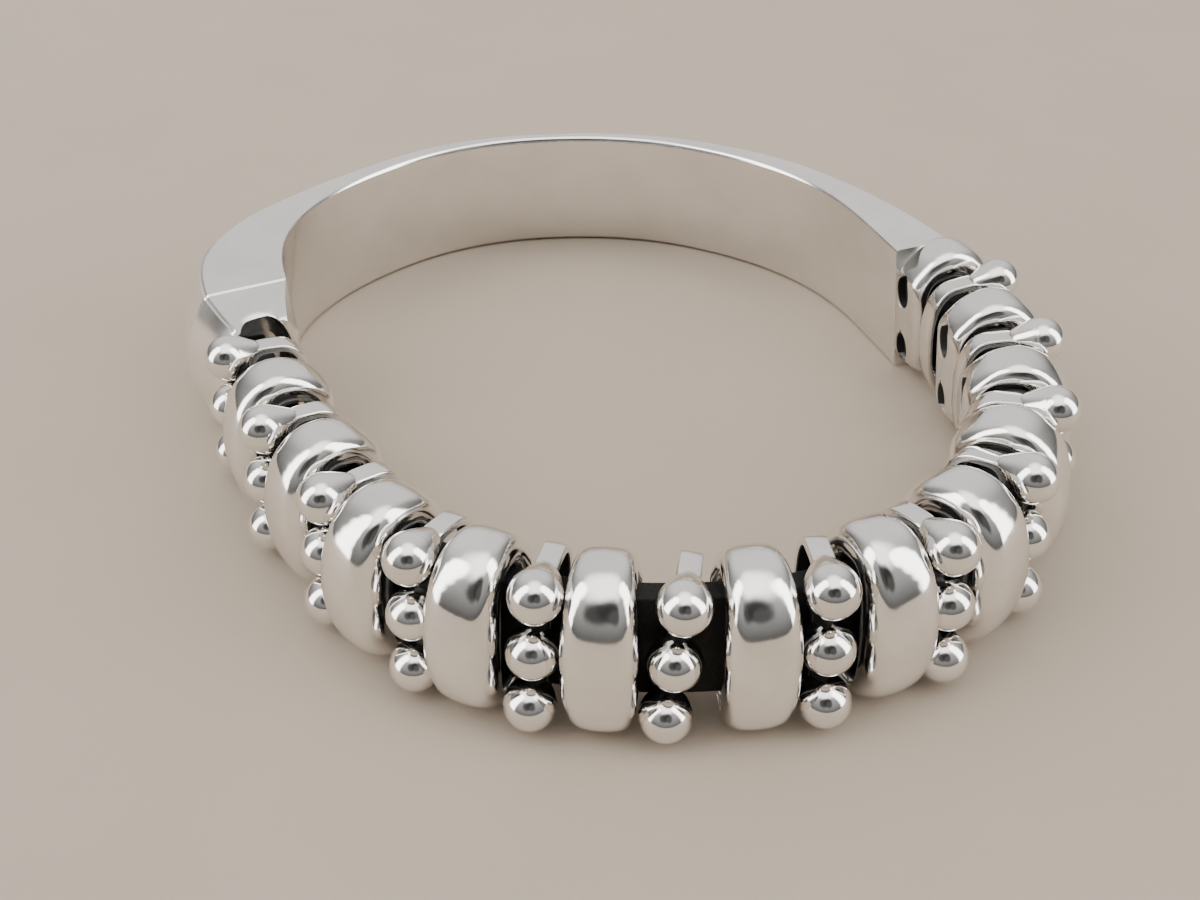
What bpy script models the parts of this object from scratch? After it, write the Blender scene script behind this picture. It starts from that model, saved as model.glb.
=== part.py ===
"""A silver bracelet: a rigid half hoop with a flexible front row of ridge links and beaded rings
on a black strip. It lies on its side, with its long inside axis along X and its width up Z."""

import math

import bmesh
import bpy
import numpy as np
from mathutils import Matrix, Vector

MM = 0.001

# The oval that the inner faces follow at mid height, and how far the loop narrows towards its top
INSIDE_LENGTH = 62.5 * MM
INSIDE_WIDTH = 51.3 * MM
LEAN = math.radians(8.4)

# The black strip inside the links
CORE_TOP = 3.4 * MM
CORE_BOTTOM = -4.6 * MM
CORE_THICKNESS = 1.8 * MM
CORE_INSET = 2.6 * MM
CORE_EDGE = 0.35 * MM
CORE_CLEARANCE = 0.4 * MM
CORE_SOCKET_DEPTH = 1.6 * MM
CORE_SOCKET_SIDES = 20
CORE_STATIONS_PER_PITCH = 4

# The row of rings and ridges
RING_PITCH = 8.2 * MM
FIRST_RING_ANGLE = math.radians(-119.0)

# Ridge links
RIDGE_HEIGHT = 13.1 * MM
RIDGE_DEPTH = 8.2 * MM
RIDGE_WIDTH = 4.95 * MM
RIDGE_INNER_WALL = 1.6 * MM
RIDGE_PLAY = 0.7 * MM
RIDGE_TUNNEL_TOP = 3.95 * MM
RIDGE_TUNNEL_BOTTOM = -5.5 * MM
RIDGE_TUNNEL_ROUNDNESS = 4
HOLE_HEIGHT = 3.2 * MM
HOLE_WIDTH = 1.75 * MM
HOLE_SPACING = 6.1 * MM
HOLE_DEPTH = 1.0 * MM
HOLE_SIDES = 10

# Bead rings
BALL_DIAMETER = 3.6 * MM
BALL_SPACING = 4.5 * MM
BALL_SOLDER_DEPTH = 0.7 * MM
BALL_SIDES = 10
BALL_TIERS = 6
PLATE_TOP = 5.4 * MM
PLATE_BOTTOM = -5.9 * MM
PLATE_WIDTH = 1.5 * MM
PLATE_WALL = 0.55 * MM
PLATE_INNER_ROUNDNESS = 2.4
PLATE_OUTER_ROUNDNESS = 5
PLATE_SIDES = 16
NECK_DIAMETER = 1.6 * MM
NECK_ROOT_DEPTH = 1.3 * MM
NECK_SIDES = 6

# The band
BAND_HEIGHT = 12.6 * MM
BAND_THICKNESS = 2.3 * MM
BAND_END_GAP = 1.8 * MM
BAND_ROOT = 1.1 * MM
BAND_TIP_LENGTH = 5.3 * MM
BAND_STATIONS = 32

PLAN_SAMPLES = 1440

# Hand-bent oval: radius of the inner face every 30 degrees, as a share of the true ellipse
PLAN_SHARES = (1.005, 0.995, 0.97, 1.035, 1.02, 0.98, 0.985, 1.03, 0.93, 0.95, 1.02, 1.0)

# One row for each bead ring, left to right: its pitch from the ring before as a share of RING_PITCH, its
# tilt along the row and its turn about the upright, in degrees. Then the ridge after it: where it stands,
# as a share of the pitch to the next ring, and how far it has slid outward, as a share of RIDGE_PLAY
ROW = (
    (0.00, 0.0, 0.0, 0.53, 0.0),
    (1.20, 0.0, 0.0, 0.49, 0.0),
    (1.10, 0.0, 0.0, 0.48, 0.9),
    (0.99, -1.0, 0.0, 0.475, 1.0),
    (0.94, 3.0, 0.0, 0.48, 1.0),
    (1.00, 6.5, 8.0, 0.55, 1.0),
    (1.09, 0.5, 9.5, 0.545, 0.5),
    (0.98, 1.0, 0.0, 0.52, 0.2),
    (1.00, 7.0, 0.0, 0.53, 0.0),
    (0.98, 0.0, 0.0, 0.47, 0.0),
    (1.00, 0.0, 0.0, 0.475, 0.0),
    (1.00, 0.0, 0.0, 0.50, 0.0),
)

# The crest of a ridge from its inner face, over the top, to its outer face:
# share of RIDGE_DEPTH, share of half RIDGE_HEIGHT, share of half RIDGE_WIDTH
RIDGE_CREST = (
    (0.00, 0.00, 0.92),
    (0.00, 0.30, 0.91),
    (0.00, 0.54, 0.88),
    (0.03, 0.68, 0.83),
    (0.12, 0.81, 0.80),
    (0.26, 0.94, 0.80),
    (0.44, 1.00, 0.83),
    (0.61, 0.97, 0.87),
    (0.76, 0.86, 0.92),
    (0.89, 0.66, 0.96),
    (0.97, 0.36, 1.00),
    (1.00, 0.00, 1.00),
)

# The cross-section of a ridge from its crest to the rim of the opening for the strip:
# share of the half width, share of the way from the opening to the crest
RIDGE_SECTION = (
    (0.00, 1.00),
    (0.50, 0.97),
    (0.83, 0.84),
    (1.00, 0.50),
    (0.88, 0.18),
    (0.80, 0.00),
)

# The band from its right end to its left end: share of its run, thickness as a share of BAND_THICKNESS,
# and how far its outer side swells at mid height, as a share of that thickness
BAND_SECTIONS = (
    (0.00, 2.40, 0.06),
    (0.06, 1.95, 0.06),
    (0.10, 1.62, 0.06),
    (0.15, 1.28, 0.06),
    (0.25, 1.08, 0.06),
    (0.36, 0.86, 0.06),
    (0.48, 0.70, 0.06),
    (0.60, 0.86, 0.06),
    (0.74, 1.02, 0.08),
    (0.82, 1.50, 0.12),
    (0.88, 2.35, 0.22),
    (0.94, 3.02, 0.27),
    (1.00, 2.90, 0.30),
)

# Outline of a band section: share of the thickness from the inner face, share of half the height
BAND_OUTLINE = (
    (0.00, -0.90),
    (0.00, 0.00),
    (0.00, 0.90),
    (0.10, 0.98),
    (0.25, 1.00),
    (0.75, 1.00),
    (0.93, 0.94),
    (1.00, 0.80),
    (1.00, 0.40),
    (1.00, -0.40),
    (1.00, -0.80),
    (0.93, -0.94),
    (0.75, -1.00),
    (0.25, -1.00),
    (0.10, -0.98),
)

# Left tip of the band past its crease: share of the tip's length, share of the full height, and how far
# the inner and outer sides draw in, as shares of the thickness at the crease
TIP_SECTIONS = (
    (0.00, 1.00, 0.00, 0.00),
    (0.55, 0.94, 0.02, 0.10),
    (1.00, 0.88, 0.05, 0.20),
)


def smooth_through(shares):
    """A function of the turn (0 to 1) that passes smoothly through evenly spaced values."""
    count = len(shares)

    def value(turn):
        place = (turn % 1.0) * count
        index = int(place)
        part = place - index
        before, start, end, after = (shares[(index + k) % count] for k in (-1, 0, 1, 2))
        slope_start = (end - before) / 2
        slope_end = (after - start) / 2
        return (
            start
            + slope_start * part
            + (3 * (end - start) - 2 * slope_start - slope_end) * part**2
            + (2 * (start - end) + slope_start + slope_end) * part**3
        )

    return value


class Path:
    """The inner oval at mid height, measured along the middle of the black strip."""

    def __init__(self):
        share = smooth_through(PLAN_SHARES)
        points = []
        for step in range(PLAN_SAMPLES):
            angle = 2 * math.pi * step / PLAN_SAMPLES
            across = math.cos(angle) / (INSIDE_LENGTH / 2)
            along = math.sin(angle) / (INSIDE_WIDTH / 2)
            radius = share(step / PLAN_SAMPLES) / math.hypot(across, along)
            points.append((radius * math.cos(angle), radius * math.sin(angle)))
        self.inner = np.array(points)
        forward = np.roll(self.inner, -1, axis=0) - np.roll(self.inner, 1, axis=0)
        self.tangent = forward / np.linalg.norm(forward, axis=1)[:, None]
        self.outward = np.stack([self.tangent[:, 1], -self.tangent[:, 0]], axis=1)
        strip = self.inner + self.outward * (CORE_INSET + CORE_THICKNESS / 2)
        steps = np.linalg.norm(np.roll(strip, -1, axis=0) - strip, axis=1)
        self.length = steps.sum()
        self.stations = np.concatenate([[0], np.cumsum(steps)])

    def station_at(self, angle):
        """Length along the path to the sample at this angle from +X."""
        turn = (angle / (2 * math.pi)) % 1.0
        return self.stations[round(turn * PLAN_SAMPLES) % PLAN_SAMPLES]

    def read(self, values, station):
        place = station % self.length
        index = int(np.searchsorted(self.stations, place, side="right")) - 1
        part = (place - self.stations[index]) / (self.stations[index + 1] - self.stations[index])
        return values[index] * (1 - part) + values[(index + 1) % PLAN_SAMPLES] * part

    def frame(self, station, tilt=0.0, turn=0.0):
        """Matrix of a link at this station: X along the row, Y outward, Z up the lean.
        The turn is about the line of the balls."""
        place = self.read(self.inner, station)
        along = Vector((*self.read(self.tangent, station), 0)).normalized()
        outward = Vector((along.y, -along.x, 0))
        leaned_out = outward * math.cos(LEAN) + Vector((0, 0, math.sin(LEAN)))
        leaned_up = Vector((0, 0, math.cos(LEAN))) - outward * math.sin(LEAN)
        axes = Matrix((along, leaned_out, leaned_up)).transposed().to_4x4()
        balls = Matrix.Translation((0, ball_reach(), 0))
        turned = balls @ Matrix.Rotation(turn, 4, "Z") @ balls.inverted()
        return Matrix.Translation((*place, mid_height())) @ axes @ turned @ Matrix.Rotation(tilt, 4, "Y")


def mid_height():
    """Height of the middle of the inner faces, so that the ridges just touch the surface below."""
    return max(
        height * RIDGE_HEIGHT / 2 * math.cos(LEAN) - depth * RIDGE_DEPTH * math.sin(LEAN)
        for depth, height, _ in RIDGE_CREST
    )


def plate_outer_face():
    """Depth of a ring plate's outer face from the inner face of the loop."""
    return CORE_INSET + CORE_THICKNESS + CORE_CLEARANCE + PLATE_WALL


def ball_reach():
    """Depth of the ball centres, which the solder sinks a little into the plate."""
    return plate_outer_face() + BALL_DIAMETER / 2 - BALL_SOLDER_DEPTH


def clear_scene():
    for obj in list(bpy.data.objects):
        bpy.data.objects.remove(obj, do_unlink=True)


def new_collection(name):
    collection = bpy.data.collections.new(name)
    bpy.context.scene.collection.children.link(collection)
    return collection


def new_material(name, color, metallic, roughness):
    material = bpy.data.materials.new(name)
    material.use_nodes = True
    shader = material.node_tree.nodes["Principled BSDF"]
    shader.inputs["Base Color"].default_value = (*color, 1.0)
    shader.inputs["Metallic"].default_value = metallic
    shader.inputs["Roughness"].default_value = roughness
    return material


def mesh_from_rings(name, rings, close_ends):
    """A mesh lofted through rings of points. Open rings get caps, closed ones join end to start."""
    mesh = bmesh.new()
    rows = [[mesh.verts.new(point) for point in ring] for ring in rings]
    count = len(rows[0])
    pairs = list(zip(rows, rows[1:]))
    if not close_ends:
        pairs.append((rows[-1], rows[0]))
    for low, high in pairs:
        for k in range(count):
            after = (k + 1) % count
            mesh.faces.new((low[k], low[after], high[after], high[k]))
    if close_ends:
        mesh.faces.new(rows[0])
        mesh.faces.new(rows[-1])
    bmesh.ops.recalc_face_normals(mesh, faces=mesh.faces)
    data = bpy.data.meshes.new(name)
    mesh.to_mesh(data)
    mesh.free()
    return data


def add_object(name, data, collection, material=None, matrix=None):
    obj = bpy.data.objects.new(name, data)
    collection.objects.link(obj)
    if material:
        data.materials.clear()
        data.materials.append(material)
    if matrix:
        obj.matrix_world = matrix
    return obj


def add_cutter(name, data, collection, matrix=None):
    cutter = add_object(name, data, collection, matrix=matrix)
    cutter.hide_render = True
    cutter.display_type = "WIRE"
    return cutter


def combine(obj, other, operation):
    modifier = obj.modifiers.new(other.name, "BOOLEAN")
    modifier.operation = operation
    modifier.solver = "EXACT"
    modifier.object = other


def evaluated_mesh(obj, name):
    bpy.context.view_layer.update()
    graph = bpy.context.evaluated_depsgraph_get()
    data = bpy.data.meshes.new_from_object(obj.evaluated_get(graph))
    data.name = name
    return data


def flat_faced(data):
    """The mesh with triangles only, so that no face is bent when it is joined to another solid."""
    mesh = bmesh.new()
    mesh.from_mesh(data)
    bmesh.ops.triangulate(mesh, faces=mesh.faces)
    mesh.to_mesh(data)
    mesh.free()
    return data


def superellipse_reach(across, up, half_across, half_up, roundness):
    """How far from the centre a rounded rectangle lies in the direction (across, up)."""
    size = (abs(across / half_across) ** roundness + abs(up / half_up) ** roundness) ** (1 / roundness)
    return 1 / size


def mirrored_rows(table):
    """Rows of a half outline, followed by its mirror image below, without repeating the ends."""
    upper = [(*row, 1) for row in table]
    lower = [(*row, -1) for row in table[-2:0:-1]]
    return upper + lower


def tunnel_sides():
    """Inner and outer side of the opening for the strip, from the inner face of the loop."""
    return RIDGE_INNER_WALL, CORE_INSET + CORE_THICKNESS + CORE_CLEARANCE


def ridge_ring(across_share, way_out):
    """One loop of a ridge's surface in its own frame."""
    near, far = tunnel_sides()
    centre = (near + far) / 2
    ring = []
    for depth, height, width, side in mirrored_rows(RIDGE_CREST):
        crest = Vector((depth * RIDGE_DEPTH, side * height * RIDGE_HEIGHT / 2))
        ray = crest - Vector((centre, 0))
        tunnel_height = RIDGE_TUNNEL_TOP if side * height > 0 else -RIDGE_TUNNEL_BOTTOM
        reach = superellipse_reach(ray.x, ray.y, (far - near) / 2, tunnel_height, RIDGE_TUNNEL_ROUNDNESS)
        opening = Vector((centre, 0)) + ray * min(reach, 1.0)
        point = opening.lerp(crest, way_out)
        ring.append((across_share * width * RIDGE_WIDTH / 2, point.x, point.y))
    return ring


def ridge_rings():
    """Loops from the opening on one side, over the dome, to the opening on the other side."""
    left = [(-across, way_out) for across, way_out in reversed(RIDGE_SECTION)]
    right = list(RIDGE_SECTION[1:])
    return [ridge_ring(across, way_out) for across, way_out in left + right]


def hole_cutter(name, collection, height):
    """An upright oval cutter for one blind hole in a ridge's inner face."""
    mesh = bmesh.new()
    bmesh.ops.create_cone(
        mesh, cap_ends=True, segments=HOLE_SIDES, radius1=0.5, radius2=0.5, depth=2 * HOLE_DEPTH
    )
    bmesh.ops.rotate(mesh, verts=mesh.verts, cent=(0, 0, 0), matrix=Matrix.Rotation(math.pi / 2, 3, "X"))
    bmesh.ops.scale(mesh, verts=mesh.verts, vec=(HOLE_WIDTH, 1, HOLE_HEIGHT))
    bmesh.ops.translate(mesh, verts=mesh.verts, vec=(0, 0, height))
    data = bpy.data.meshes.new(name)
    mesh.to_mesh(data)
    mesh.free()
    return add_cutter(name, data, collection)


def ridge_mesh(name, cutters, through):
    """A domed ridge link. With no way through, it is closed on the side before it in the row."""
    rings = ridge_rings()
    if not through:
        floor = [(0, point[1], point[2]) for point in rings[0]]
        rings = [floor] + rings[:-3]
    solid = add_object(name + "_plain", mesh_from_rings(name, rings, not through), cutters)
    solid.hide_render = True
    for side in (-1, 1):
        cutter = hole_cutter(f"{name}_hole_{side}", cutters, side * HOLE_SPACING / 2)
        combine(solid, cutter, "DIFFERENCE")
    return flat_faced(evaluated_mesh(solid, name))


def plate_ring(across, grow):
    """One loop of a ring plate, grown outward from its opening by the given wall."""
    near = PLATE_WALL
    far = CORE_INSET + CORE_THICKNESS + CORE_CLEARANCE
    centre = (near + far) / 2
    half_depth = (far - near) / 2 + grow
    middle = (PLATE_TOP + PLATE_BOTTOM) / 2
    half_height = (PLATE_TOP - PLATE_BOTTOM) / 2 - PLATE_WALL + grow
    ring = []
    for step in range(PLATE_SIDES):
        angle = 2 * math.pi * (step + 0.5) / PLATE_SIDES
        ray = (math.cos(angle) * half_depth, math.sin(angle) * half_height)
        roundness = PLATE_INNER_ROUNDNESS if ray[0] < 0 else PLATE_OUTER_ROUNDNESS
        reach = superellipse_reach(*ray, half_depth, half_height, roundness)
        ring.append((across, centre + ray[0] * reach, middle + ray[1] * reach))
    return ring


def ball_mesh(name):
    mesh = bmesh.new()
    bmesh.ops.create_uvsphere(mesh, u_segments=BALL_SIDES, v_segments=BALL_TIERS, radius=BALL_DIAMETER / 2)
    bmesh.ops.rotate(mesh, verts=mesh.verts, cent=(0, 0, 0), matrix=Matrix.Rotation(math.pi / 2, 3, "X"))
    data = bpy.data.meshes.new(name)
    mesh.to_mesh(data)
    mesh.free()
    return data


def neck_mesh(name, length):
    """A short round neck along Y that carries a ball at the edge of the plate."""
    mesh = bmesh.new()
    radius = NECK_DIAMETER / 2
    bmesh.ops.create_cone(
        mesh, cap_ends=True, segments=NECK_SIDES, radius1=radius, radius2=radius, depth=length
    )
    bmesh.ops.rotate(mesh, verts=mesh.verts, cent=(0, 0, 0), matrix=Matrix.Rotation(math.pi / 2, 3, "X"))
    data = bpy.data.meshes.new(name)
    mesh.to_mesh(data)
    mesh.free()
    return data


def bead_ring_mesh(cutters):
    """A ring plate with three balls soldered on its outer face."""
    half = PLATE_WIDTH / 2
    rings = [
        plate_ring(-half, 0),
        plate_ring(-half, PLATE_WALL),
        plate_ring(half, PLATE_WALL),
        plate_ring(half, 0),
    ]
    plate = add_object("plate_plain", mesh_from_rings("plate", rings, False), cutters)
    plate.hide_render = True
    reach = ball_reach()
    balls = ball_mesh("ball")
    for place in (-1, 0, 1):
        spot = Matrix.Translation((0, reach, place * BALL_SPACING))
        combine(plate, add_cutter(f"ball_{place}", balls, cutters, spot), "UNION")
    root = plate_outer_face() - NECK_ROOT_DEPTH
    neck = neck_mesh("neck", reach - root)
    spot = Matrix.Translation((0, (root + reach) / 2, PLATE_TOP - NECK_DIAMETER / 2))
    combine(plate, add_cutter("neck", neck, cutters, spot), "UNION")
    return evaluated_mesh(plate, "bead_ring")


def row_stations(path):
    """Stations of the bead rings and of the ridge after each of them."""
    rings = []
    place = path.station_at(FIRST_RING_ANGLE) - path.length
    for pitch, *_ in ROW:
        place += pitch * RING_PITCH
        rings.append(place)
    nexts = rings[1:] + [rings[-1] + RING_PITCH]
    ridges = [ring + (after - ring) * row[3] for ring, after, row in zip(rings, nexts, ROW)]
    return rings, ridges


def add_core(path, start, end, collection, material):
    """The black strip between its two sockets."""
    inside = CORE_INSET
    outside = CORE_INSET + CORE_THICKNESS
    outline = [
        (inside, CORE_BOTTOM + CORE_EDGE),
        (inside, CORE_TOP - CORE_EDGE),
        (inside + CORE_EDGE, CORE_TOP),
        (outside - CORE_EDGE, CORE_TOP),
        (outside, CORE_TOP - CORE_EDGE),
        (outside, CORE_BOTTOM + CORE_EDGE),
        (outside - CORE_EDGE, CORE_BOTTOM),
        (inside + CORE_EDGE, CORE_BOTTOM),
    ]
    count = round((end - start) / RING_PITCH * CORE_STATIONS_PER_PITCH)
    rings = []
    for step in range(count + 1):
        frame = path.frame(start + (end - start) * step / count)
        rings.append([frame @ Vector((0, depth, height)) for depth, height in outline])
    add_object("core_strip", mesh_from_rings("core_strip", rings, True), collection, material)


def band_ring(path, station, thickness, swell, height_share=1.0, inner_in=0.0, outer_in=0.0):
    """One section of the band, with level top and bottom faces that keep to the lean of the loop."""
    frame = path.frame(station)
    base = frame.translation
    outward = (frame.to_3x3() @ Vector((0, 1, 0)) * Vector((1, 1, 0))).normalized()
    ring = []
    for depth, height in BAND_OUTLINE:
        rounded = depth * (1 + swell * (1 - height**2))
        out = thickness * (inner_in + rounded * (1 - inner_in - outer_in))
        up = height * height_share * BAND_HEIGHT / 2
        level = BAND_HEIGHT / 2 + up
        spot = base + outward * (out - (level - base.z) * math.tan(LEAN))
        ring.append((spot.x, spot.y, level))
    return ring


def band_section(share):
    """Thickness and swell of the band at this share of its run."""
    shares, thicknesses, swells = zip(*BAND_SECTIONS)
    return np.interp(share, shares, thicknesses) * BAND_THICKNESS, np.interp(share, shares, swells)


def add_band(path, right, left, last_ridge, collection, cutters, material):
    """The half hoop from inside the last ridge, round the back, to the tip before the first ring."""
    crease = left - BAND_TIP_LENGTH
    rings = []
    for step in range(BAND_STATIONS + 1):
        share = step / BAND_STATIONS
        rings.append(band_ring(path, right + (crease - right) * share, *band_section(share)))
    end_section = band_section(1.0)
    for share, height, inner_in, outer_in in TIP_SECTIONS[1:]:
        station = crease + share * BAND_TIP_LENGTH
        rings.append(band_ring(path, station, *end_section, height, inner_in, outer_in))
    hoop = add_object("band_plain", mesh_from_rings("band_plain", rings, True), cutters)
    hoop.hide_render = True
    ridge = add_cutter("last_ridge_plain", last_ridge[0], cutters, last_ridge[1])
    combine(hoop, ridge, "UNION")
    socket = socket_mesh("band_socket")
    combine(hoop, add_cutter("band_socket", socket, cutters, path.frame(left)), "DIFFERENCE")
    return add_object("band", evaluated_mesh(hoop, "band"), collection, material)


def socket_mesh(name):
    """The arched recess in the band's left tip that takes the end of the strip."""
    near, far = tunnel_sides()
    centre = (near + far) / 2
    middle = (RIDGE_TUNNEL_TOP + RIDGE_TUNNEL_BOTTOM) / 2
    half_height = (RIDGE_TUNNEL_TOP - RIDGE_TUNNEL_BOTTOM) / 2
    rings = []
    for across in (-CORE_SOCKET_DEPTH, CORE_SOCKET_DEPTH):
        ring = []
        for step in range(CORE_SOCKET_SIDES):
            angle = 2 * math.pi * (step + 0.5) / CORE_SOCKET_SIDES
            ray = (math.cos(angle) * (far - near) / 2, math.sin(angle) * half_height)
            reach = superellipse_reach(*ray, (far - near) / 2, half_height, RIDGE_TUNNEL_ROUNDNESS)
            ring.append((across, centre + ray[0] * reach, middle + ray[1] * reach))
        rings.append(ring)
    return mesh_from_rings(name, rings, True)


def centre_on_origin(collection):
    """Hangs every piece on an empty that puts the middle of the whole over the origin."""
    bpy.context.view_layer.update()
    corners = [
        piece.matrix_world @ Vector(corner) for piece in collection.objects for corner in piece_corners(piece)
    ]
    middle = [(min(c[k] for c in corners) + max(c[k] for c in corners)) / 2 for k in (0, 1)]
    stand = bpy.data.objects.new("bracelet", None)
    collection.objects.link(stand)
    stand.location = (-middle[0], -middle[1], 0)
    for piece in list(collection.objects):
        if piece is not stand:
            piece.parent = stand
    bpy.context.view_layer.update()


def piece_corners(piece):
    return [vertex.co for vertex in piece.data.vertices]


def main():
    clear_scene()
    collection = new_collection("silver_bracelet")
    cutters = new_collection("cutters")
    silver = new_material("polished_silver", (0.86, 0.84, 0.81), 1.0, 0.14)
    satin = new_material("satin_silver", (0.80, 0.77, 0.74), 1.0, 0.32)
    black = new_material("black_strip", (0.012, 0.012, 0.013), 0.0, 0.6)

    path = Path()
    rings, ridges = row_stations(path)

    ridge = ridge_mesh("ridge_link", cutters, True)
    for number, (station, row) in enumerate(zip(ridges[:-1], ROW), start=1):
        slid = path.frame(station) @ Matrix.Translation((0, row[4] * RIDGE_PLAY, 0))
        add_object(f"ridge_link_{number:02d}", ridge, collection, silver, slid)

    bead_ring = bead_ring_mesh(cutters)
    for number, (station, row) in enumerate(zip(rings, ROW), start=1):
        frame = path.frame(station, math.radians(row[1]), math.radians(row[2]))
        add_object(f"bead_ring_{number:02d}", bead_ring, collection, silver, frame)

    last_ridge = (ridge_mesh("last_ridge", cutters, False), path.frame(ridges[-1]))
    left = rings[0] - PLATE_WIDTH / 2 - BAND_END_GAP
    right = ridges[-1] + BAND_ROOT
    add_band(path, right, left + path.length, last_ridge, collection, cutters, satin)

    core_start = left - CORE_SOCKET_DEPTH + CORE_CLEARANCE
    core_end = ridges[-1] - CORE_CLEARANCE
    add_core(path, core_start, core_end, collection, black)
    centre_on_origin(collection)


main()
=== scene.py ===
"""A silver bracelet lying on its side: a rigid half hoop at the back, and a flexible front row of
domed ridge links and beaded rings threaded on a black strip."""

import math

import bmesh
import bpy
import numpy as np
from mathutils import Matrix, Vector


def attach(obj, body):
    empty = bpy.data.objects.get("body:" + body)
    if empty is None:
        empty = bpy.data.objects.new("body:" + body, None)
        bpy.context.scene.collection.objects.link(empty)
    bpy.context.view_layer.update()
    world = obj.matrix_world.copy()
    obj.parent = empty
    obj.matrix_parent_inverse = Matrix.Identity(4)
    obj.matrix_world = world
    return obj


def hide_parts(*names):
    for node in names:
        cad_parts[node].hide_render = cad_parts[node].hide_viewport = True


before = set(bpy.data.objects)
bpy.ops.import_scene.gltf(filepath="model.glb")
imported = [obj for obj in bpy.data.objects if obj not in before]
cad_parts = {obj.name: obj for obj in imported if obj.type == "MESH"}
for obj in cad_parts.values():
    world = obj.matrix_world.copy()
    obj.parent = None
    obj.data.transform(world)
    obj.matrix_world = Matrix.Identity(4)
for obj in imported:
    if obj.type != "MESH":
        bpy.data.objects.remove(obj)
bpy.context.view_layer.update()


# The black strip: a flat length of matt black rubber that carries the whole front row. It runs
# inside all the links, leans in a little towards the top as the loop does, and its ends sit in a
# pocket of the band and in the last ridge.
MM = 0.001
INSIDE_LENGTH = 62.5 * MM
INSIDE_WIDTH = 51.3 * MM
PLAN_SHARES = (1.005, 0.995, 0.97, 1.035, 1.02, 0.98, 0.985, 1.03, 0.93, 0.95, 1.02, 1.0)
PLAN_SAMPLES = 1440
PLAN_CENTRE = Vector((-2.947 * MM, 1.722 * MM))
MID_HEIGHT = 5.953 * MM
LEAN = math.radians(8.4)
STRIP_INSET = 2.6 * MM
STRIP_THICKNESS = 1.8 * MM
STRIP_TOP = 3.4 * MM
STRIP_BOTTOM = -4.6 * MM
STRIP_CORNER = 0.3 * MM
STRIP_CLEARANCE = 0.4 * MM
STRIP_STATIONS = 260
STRIP_SHARP_ANGLE = math.radians(50)
RING_PITCH = 8.2 * MM
FIRST_RING_ANGLE = math.radians(-119.0)
POCKET_DEPTH = 1.6 * MM
PLATE_WIDTH = 1.5 * MM
BAND_END_GAP = 1.8 * MM
RUBBER_TONES = (0.003, 0.003, 0.0032), (0.009, 0.009, 0.0095)
RUBBER_ROUGHNESS = 0.46, 0.72
RUBBER_GRAIN_DEPTH = 0.06 * MM

# One row for each bead ring, left to right: its pitch from the ring before as a share of
# RING_PITCH, its tilt along the row and its turn about the upright, in degrees. Then the ridge
# after it: where it stands, as a share of the pitch to the next ring, and how far it has slid
# outward, as a share of RIDGE_PLAY
ROW = (
    (0.00, 0.0, 0.0, 0.53, 0.0),
    (1.20, 0.0, 0.0, 0.49, 0.0),
    (1.10, 0.0, 0.0, 0.48, 0.9),
    (0.99, -1.0, 0.0, 0.475, 1.0),
    (0.94, 3.0, 0.0, 0.48, 1.0),
    (1.00, 6.5, -8.0, 0.55, 1.0),
    (1.09, 0.5, -9.5, 0.545, 0.5),
    (0.98, 1.0, 0.0, 0.52, 0.2),
    (1.00, 7.0, 0.0, 0.53, 0.0),
    (0.98, 0.0, 0.0, 0.47, 0.0),
    (1.00, 0.0, 0.0, 0.475, 0.0),
    (1.00, 0.0, 0.0, 0.50, 0.0),
)


def angles_round(sides, offset=0.0):
    """Evenly spaced directions round a loop, in radians."""
    return [math.tau * (step + offset) / sides for step in range(sides)]


def smooth_share(shares, turn):
    """Passes smoothly through evenly spaced shares round the loop."""
    place = (turn % 1.0) * len(shares)
    index = int(place)
    part = place - index
    before, start, end, after = (shares[(index + k) % len(shares)] for k in (-1, 0, 1, 2))
    rise, fall = (end - before) / 2, (after - start) / 2
    return (
        start
        + rise * part
        + (3 * (end - start) - 2 * rise - fall) * part**2
        + (2 * (start - end) + rise + fall) * part**3
    )


def bend_oval():
    """The hand-bent oval of the inner faces at mid height, its directions and its length stations,
    which are measured along the middle of the strip."""
    points = []
    for step, angle in enumerate(angles_round(PLAN_SAMPLES)):
        reach = math.hypot(
            math.cos(angle) / (INSIDE_LENGTH / 2), math.sin(angle) / (INSIDE_WIDTH / 2)
        )
        radius = smooth_share(PLAN_SHARES, step / PLAN_SAMPLES) / reach
        points.append((radius * math.cos(angle), radius * math.sin(angle)))
    inner = np.array(points)
    forward = np.roll(inner, -1, axis=0) - np.roll(inner, 1, axis=0)
    tangent = forward / np.linalg.norm(forward, axis=1)[:, None]
    outward = np.stack([tangent[:, 1], -tangent[:, 0]], axis=1)
    middle = inner + outward * (STRIP_INSET + STRIP_THICKNESS / 2)
    steps = np.linalg.norm(np.roll(middle, -1, axis=0) - middle, axis=1)
    return inner + np.array(PLAN_CENTRE), tangent, np.concatenate([[0], np.cumsum(steps)])


oval_points, oval_tangents, oval_stations = bend_oval()
oval_length = oval_stations[-1]


def sample_towards(angle):
    """Index of the plan sample that lies in this direction from the middle of the loop."""
    return round(angle / math.tau % 1.0 * PLAN_SAMPLES) % PLAN_SAMPLES


def oval_sample(station):
    """Index of the plan sample before this station, and the share of the way to the next one."""
    place = station % oval_length
    index = int(np.searchsorted(oval_stations, place, side="right")) - 1
    before, after = oval_stations[index], oval_stations[index + 1]
    return index, (place - before) / (after - before)


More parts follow.
